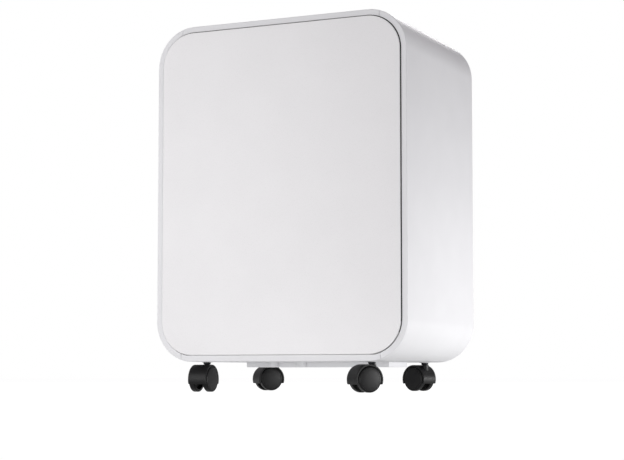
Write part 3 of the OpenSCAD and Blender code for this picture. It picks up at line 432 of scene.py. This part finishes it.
for corner in ("fl", "fr", "rl", "rr"):
    hood = soften("caster_hood_" + corner, "hood_" + corner, [(anything, 0.55, 3)], grained_black)
    stands_for(hood, "hood_" + corner, "swivel_" + corner)
    stub = soften("caster_axle_" + corner, "axle_" + corner, [(anything, 0.3, 2)], zinc)
    stands_for(stub, "axle_" + corner, "swivel_" + corner)
    for hand, sign in (("a", 1), ("b", -1)):
        joint = joints[f"roll_{corner}_{hand}"]
        hub = Vector(joint["pos_m"])
        along = Vector(joint["axis"]).normalized() * sign
        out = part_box(f"wheel_{corner}_{hand}")
        centre = (out[0] + out[1]) / 2
        start = hub + along * ((centre - hub).dot(along) - wheel_w * mm / 2)
        up = Vector((0, 0, 1))
        bm = bmesh.new()
        verts = [bm.verts.new(start + (up * r + along * w) * mm) for r, w in wheel_section]
        edges = [bm.edges.new(pair) for pair in zip(verts, verts[1:])]
        bmesh.ops.spin(
            bm, geom=verts + edges, cent=hub, axis=along, angle=math.tau, steps=72,
            use_merge=True)
        bmesh.ops.remove_doubles(bm, verts=bm.verts, dist=0.002 * mm)
        bmesh.ops.recalc_face_normals(bm, faces=bm.faces)
        wheel = finished(f"caster_wheel_{corner}_{hand}", bm, nylon_black)
        stands_for(wheel, f"wheel_{corner}_{hand}", f"roller_{corner}_{hand}")

# Black oxide steel: nearly black, with a faint oily gleam.
blacked = metal("black_oxide_steel", "2c2c2e", 0.45, 0.6)
stems = soften("caster_stem_set", "caster_stems", [(anything, 0.3, 2)], blacked)
stands_for(stems, "caster_stems", "body")

# ---------------------------------------------------------------------------
# Water tank: a pale grey polypropylene bucket that slides out of its bay at
# the back by a moulded grip, with a white snap lid and a foam float on a pin.
# ---------------------------------------------------------------------------

tank_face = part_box("water_tank")[1].y / mm


def tank_rim(p, e):
    return flush(p.y, tank_face)


# Polypropylene: pale blue grey and slightly waxy.
grey_pp = moulded("satin_grey_polypropylene", "b9bec4", 0.38, 0.6, 0.01)
# Unpolished ABS: the flat, dull white of parts that are seldom seen.
inner_abs = moulded("matt_inner_abs", "e3e3e0", 0.55, 0.6, 0.02)
# Closed cell foam: a bright, dry orange with a pitted skin.
foam = moulded("closed_cell_orange_foam", "d9772f", 0.8, 0.5, 0.08, 0.06)
tank = soften("water_tank_bucket", "water_tank", [(tank_rim, 1.0, 4), (anything, 0.4, 2)], grey_pp)
stands_for(tank, "water_tank", "tank")
lid = soften("water_tank_lid", "tank_lid", [(anything, 0.4, 2)], inner_abs)
stands_for(lid, "tank_lid", "tank")
float_foam = soften("tank_float_foam", "tank_float", [(anything, 0.7, 3)], foam)
stands_for(float_foam, "tank_float", "float")
bay = soften("tank_bay_liner", "tank_bay", [(anything, 0.4, 2)], inner_abs)
stands_for(bay, "tank_bay", "body")

# ---------------------------------------------------------------------------
# Level strip: a frosted window moulded down the tank's face, with five raised
# ticks one above the other in dark plastic, to read the water by.
# ---------------------------------------------------------------------------

# Frosted polypropylene: painted darker than the wall, as painted shade for the dim inside of the
# tank seen through it.
frosted_inner_shade = moulded("frosted_strip_painted_inner_shade", "8f979e", 0.5, 0.4, 0.02)

# Dark polypropylene: short plain bars that stand out from the frosted strip.
tick_grey = moulded("dark_polypropylene_ticks", "33393f", 0.45, 0.5, 0.01)
lo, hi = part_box("water_tank")
strip_in, strip_w, strip_tall, strip_drop = 24.0, 12.0, 96.0, 6.0
plate_proud, tick_pitch = 0.04, 20.0
strip_x, strip_z = lo.x / mm + strip_in, (lo.z + hi.z) / 2 / mm - strip_drop


def level_plate(name, finish, across, plates):
    """Thin plates with rounded corners, let into the tank's face."""
    bm = bmesh.new()
    for x, z, wide, tall, corner in plates:
        made = bmesh.ops.create_cube(bm, size=1.0)["verts"]
        bmesh.ops.scale(bm, vec=(wide, across, tall), verts=made)
        bmesh.ops.translate(bm, vec=(x, tank_face - across / 2 + plate_proud, z), verts=made)
        own_edges = dict.fromkeys(e for v in made for e in v.link_edges)
        deep = [e for e in own_edges if abs(e.verts[0].co.y - e.verts[1].co.y) > across / 2]
        bmesh.ops.bevel(
            bm, geom=deep, offset=corner, offset_type="OFFSET", affect="EDGES", segments=5,
            profile=0.5, material=-1)
    bmesh.ops.scale(bm, vec=(mm, mm, mm), verts=bm.verts)
    plate = finished(name, bm, finish)
    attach(plate, "tank")


level_plate("tank_level_strip", frosted_inner_shade, 0.3, [(strip_x, strip_z, strip_w, strip_tall, 5.0)])
ticks = []
for k in range(-2, 3):
    shift, long = (1.5, 4.0) if k % 2 else (0.0, 7.0)
    ticks.append((strip_x + shift, strip_z + k * tick_pitch, long, 1.2, 0.5))
level_plate("tank_level_ticks", tick_grey, 0.4, ticks)

# ---------------------------------------------------------------------------
# Top fittings: a hinged outlet flap over a black louvre, a folding handle of
# grained grey nylon in its recess, and a filter frame that lifts out.
# ---------------------------------------------------------------------------

flap = soften("outlet_flap_plate", "outlet_flap", [(anything, 0.5, 3)], satin_abs)
stands_for(flap, "outlet_flap", "flap")
louvre = soften("outlet_louvre", "outlet_grille", [(anything, 0.2, 2)], grained_black)
stands_for(louvre, "outlet_grille", "body")
# Glass filled nylon: mid grey with an even, slightly rough grain.
grey_nylon = moulded("grained_grey_nylon", "a6a7ab", 0.5, 0.5, 0.03, 0.03)
handle = soften("folding_handle", "carry_handle", [(anything, 1.2, 4)], grey_nylon)
stands_for(handle, "carry_handle", "handle")
filter_bars = soften("filter_bars", "filter_frame", [(anything, 0.3, 2)], inner_abs)
stands_for(filter_bars, "filter_frame", "filter")


def woven(name, code, pitch):
    """Monofilament net: two sets of fine threads that cross square, with the openings between them
    painted near black as painted shade.
    """
    finish, tree = blank(name)
    place = add(tree, "ShaderNodeTexCoord").outputs["Object"]
    sets = [
        add(tree, "ShaderNodeTexWave", {"Vector": place, "Scale": 0.314 / (pitch * mm)},
            wave_type="BANDS", bands_direction=way)
        for way in ("X", "Z")
    ]
    cross = add(tree, "ShaderNodeMath", {0: sets[0].outputs[1], 1: sets[1].outputs[1]},
                operation="MAXIMUM")
    base = linear(code)
    ramp = add(tree, "ShaderNodeValToRGB", {"Fac": cross.outputs[0]})
    # Painted shade: the openings, where neither set of threads lies, are drawn at 15% of the
    # thread colour.
    ramp.color_ramp.elements[0].color = [c * 0.15 for c in base[:3]] + [1.0]
    ramp.color_ramp.elements[0].position = 0.45
    ramp.color_ramp.elements[1].color = base
    ramp.color_ramp.elements[1].position = 0.8
    bump = add(tree, "ShaderNodeBump", {"Height": cross.outputs[0], "Distance": 0.2 * mm})
    skin = add(tree, "ShaderNodeBsdfPrincipled", {
        "Base Color": ramp.outputs[0], "Roughness": 0.6, "Normal": bump.outputs[0]})
    add(tree, "ShaderNodeOutputMaterial", {"Surface": skin.outputs[0]})
    return finish


def wear(finish, *nodes):
    for node in nodes:
        frame["nodes"][node].material_slots[0].link = "OBJECT"
        frame["nodes"][node].material_slots[0].material = finish


# Nylon net: a dark grey weave, its openings painted near black as painted shade.
# Real threads are 0.8 mm apart and are drawn at twice that, so that the weave shows.
wear(woven("woven_nylon_net_with_painted_hole_shade", "4a4c50", 1.6), "filter_mesh")

# ---------------------------------------------------------------------------
# Controls: a gloss dark fascia let into the top, five satin keys on stalks,
# and a smoked display window.
# ---------------------------------------------------------------------------

# Gloss ABS: almost black, with clear reflections and no grain to see.
gloss_dark = moulded("gloss_dark_abs_fascia", "1f2124", 0.16, 1.2, 0.002, 0.04)
# Smoked acrylic: black until it is lit from behind, with sharp reflections.
smoked = moulded("smoked_acrylic_window", "08090b", 0.06, 3.0, 0.001, 0.02)
# Satin ABS keys: a light grey that stands out from the dark fascia.
key_grey = moulded("satin_grey_abs_keys", "d2d3d5", 0.4, 0.5, 0.01)
fascia = soften("control_fascia_plate", "control_fascia", [(anything, 0.3, 2)], gloss_dark)
stands_for(fascia, "control_fascia", "body")
window = soften("display_window_pane", "display_window", [(anything, 0.2, 2)], smoked)
stands_for(window, "display_window", "body")
for key in ("power", "mode", "timer", "down", "up"):
    cap = soften("key_cap_" + key, "button_" + key, [(anything, 0.6, 3)], key_grey)
    stands_for(cap, "button_" + key, "key_" + key)

# ---------------------------------------------------------------------------
# Key marks: generic strokes moulded 0.12 mm proud of each key, a ring and bar,
# three lines, a clock, and arrows down and up.
# ---------------------------------------------------------------------------

# Dark grey ABS: flat and dull, so that it reads clearly on the light keys.
mark_grey = moulded("dark_grey_abs_marks", "4a4d52", 0.5, 0.5, 0.01)
mark_rise, mark_w, mark_round = 0.12, 0.6, 0.24


def stroke(bm, centre, start, end):
    """A flat bar with rounded ends that lies on a key, between two points in mm."""
    run = Vector(end) - Vector(start)
    made = bmesh.ops.create_cube(bm, size=1.0)["verts"]
    bmesh.ops.scale(bm, vec=(run.length + mark_w, mark_w, 2 * mark_rise), verts=made)
    own_edges = dict.fromkeys(e for v in made for e in v.link_edges)
    upright = [e for e in own_edges if abs(e.verts[0].co.z - e.verts[1].co.z) > mark_rise]
    rounded = bmesh.ops.bevel(
        bm, geom=upright, offset=mark_round, offset_type="OFFSET", affect="EDGES", segments=3,
        profile=0.5, material=-1)
    bar = [v for v in dict.fromkeys(made + rounded["verts"]) if v.is_valid]
    turned = Matrix.Rotation(math.atan2(run.y, run.x), 3, "Z")
    halfway = (Vector(start) + Vector(end)) / 2
    bmesh.ops.rotate(bm, cent=(0, 0, 0), matrix=turned, verts=bar)
    bmesh.ops.translate(bm, vec=centre + halfway.to_3d(), verts=bar)


def ring(bm, centre, radius, turn, gap):
    """A flat ring on a key, open over the angle gap about the direction turn."""
    half = mark_w / 2
    corners = [(radius - half, -mark_rise), (radius + half, -mark_rise),
               (radius + half, mark_rise), (radius - half, mark_rise)]
    first = Matrix.Rotation(turn + gap / 2, 3, "Z")
    verts = [bm.verts.new(centre + first @ Vector((r, 0, z))) for r, z in corners]
    face = bm.faces.new(verts)
    bmesh.ops.spin(
        bm, geom=[face] + face.edges[:] + verts, cent=centre, axis=(0, 0, 1),
        angle=math.tau - gap, steps=36)


marks = {
    "power": [((0, 0.6), (0, 2.8))],
    "mode": [((-1.8, 1.4), (1.8, 1.4)), ((-1.8, 0), (1.8, 0)), ((-1.8, -1.4), (1.8, -1.4))],
    "timer": [((0, 0), (0, 1.5)), ((0, 0), (1.1, 0))],
    "down": [((-1.8, 0.9), (0, -0.9)), ((0, -0.9), (1.8, 0.9))],
    "up": [((-1.8, -0.9), (0, 0.9)), ((0, 0.9), (1.8, -0.9))],
}
for key, strokes in marks.items():
    lo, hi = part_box("button_" + key)
    centre = Vector(((lo.x + hi.x) / 2, (lo.y + hi.y) / 2, hi.z)) / mm
    bm = bmesh.new()
    for start, end in strokes:
        stroke(bm, centre, start, end)
    if key == "power":
        ring(bm, centre, 2.3, math.pi / 2, 0.9)
    if key == "timer":
        ring(bm, centre, 2.6, 0, 0.02)
    bmesh.ops.scale(bm, vec=(mm, mm, mm), verts=bm.verts)
    bmesh.ops.recalc_face_normals(bm, faces=bm.faces)
    mark = finished("key_mark_" + key, bm, mark_grey)
    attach(mark, "key_" + key)

# ---------------------------------------------------------------------------
# Display and lamp: two unlit seven bar figures printed on the pane, and beside
# the power key a small domed lens over a lamp.
# ---------------------------------------------------------------------------

# Printed segment ink: a faint smooth grey, barely seen on the black pane.
segment_grey = moulded("unlit_display_segments", "3a3f42", 0.3, 0.5, 0.001)
lo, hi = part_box("display_window")
bm = bmesh.new()
middle = Vector(((lo.x + hi.x) / 2, (lo.y + hi.y) / 2, hi.z)) / mm
side, bar_tall, bar_gap = 3.25, 6.0, 1.0
figure_shift, figure_sink = 7.0, 0.04
for shift in (-figure_shift, figure_shift):
    centre = middle + Vector((shift, 0, -figure_sink))
    for height in (-bar_tall, 0, bar_tall):
        stroke(bm, centre, (bar_gap - side, height), (side - bar_gap, height))
    for hand in (-side, side):
        for foot in (-bar_tall, 0):
            stroke(bm, centre, (hand, foot + bar_gap), (hand, foot + bar_tall - bar_gap))
bmesh.ops.scale(bm, vec=(mm, mm, mm), verts=bm.verts)
figures = finished("display_segments", bm, segment_grey)
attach(figures, "body")

# Indicator lens: a clear green dome that glows a little.
lamp_lens, tree = blank("green_indicator_lens")
lens_skin = add(tree, "ShaderNodeBsdfPrincipled", {
    "Base Color": linear("5fd08a"), "Roughness": 0.2,
    "Emission Color": linear("5fd08a"), "Emission Strength": 0.6})
add(tree, "ShaderNodeOutputMaterial", {"Surface": lens_skin.outputs[0]})
lo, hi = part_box("button_power")
lens_r, lens_rise, lens_set = 1.1, 0.3, 3.2
place = Vector(((lo.x + hi.x) / 2, hi.y + lens_set * mm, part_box("control_fascia")[1].z))
bm = bmesh.new()
bmesh.ops.create_uvsphere(bm, u_segments=20, v_segments=10, radius=lens_r * mm)
bmesh.ops.scale(bm, vec=(1, 1, lens_rise), verts=bm.verts)
bmesh.ops.translate(bm, vec=place, verts=bm.verts)
lamp = finished("status_lamp", bm, lamp_lens)
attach(lamp, "body")

# ---------------------------------------------------------------------------
# Rear fittings: a rubber plug pushed into the drain spigot, and a black moulded
# appliance inlet with three blades.
# ---------------------------------------------------------------------------

plug = soften("drain_plug_rubber", "drain_plug", [(anything, 0.5, 3)], rubber_and_gap_shade)
stands_for(plug, "drain_plug", "plug")
inlet = soften("power_inlet_body", "power_inlet", [(anything, 0.3, 2)], grained_black)
stands_for(inlet, "power_inlet", "body")

# ---------------------------------------------------------------------------
# Inside: the finned coils, copper lines, compressor, fan and electrics. They
# show only through the intake slots, the outlet and the open tank bay.
# ---------------------------------------------------------------------------

# Fin foil: thin bright aluminium, a little mottled by the press.
fin_foil = metal("bright_aluminium_fin_foil", "c9ccd0", 0.3, 0.8)
wear(fin_foil, "evaporator_fins", "condenser_fins", "run_capacitor")

# Drawn copper: a warm red metal with long faint draw marks.
copper = metal("drawn_copper_tube", "c8794f", 0.28, 0.7)
wear(copper, "evaporator_tubes", "condenser_tubes", "refrigerant_pipes", "filter_drier")

# Enamel: a thick glossy black coat with a slight orange peel.
black_enamel = moulded("black_compressor_enamel", "141416", 0.25, 1.5, 0.01, 0.05)
wear(black_enamel, "compressor")

# Motor enamel: a plain mid grey coat over cast aluminium.
grey_enamel = moulded("grey_motor_enamel", "6b6e73", 0.4, 0.9, 0.01, 0.04)
wear(grey_enamel, "fan_motor")
wear(rubber_and_gap_shade, "compressor_mounts")
wear(zinc, "compressor_bolts", "motor_shaft")
wear(grained_black, "fan_scroll", "fan_wheel")
wear(inner_abs, "front_bulkhead", "drip_tray")

# Flame retardant ABS: a dull dark grey box.
box_grey = moulded("grey_flame_retardant_abs", "4b4d50", 0.55, 0.6, 0.02, 0.03)
wear(box_grey, "main_board_box")

# Solder mask: a smooth, slightly glossy green lacquer.
solder_mask = moulded("green_solder_mask", "1c6b3a", 0.3, 1.0, 0.01, 0.05)
wear(solder_mask, "control_board")
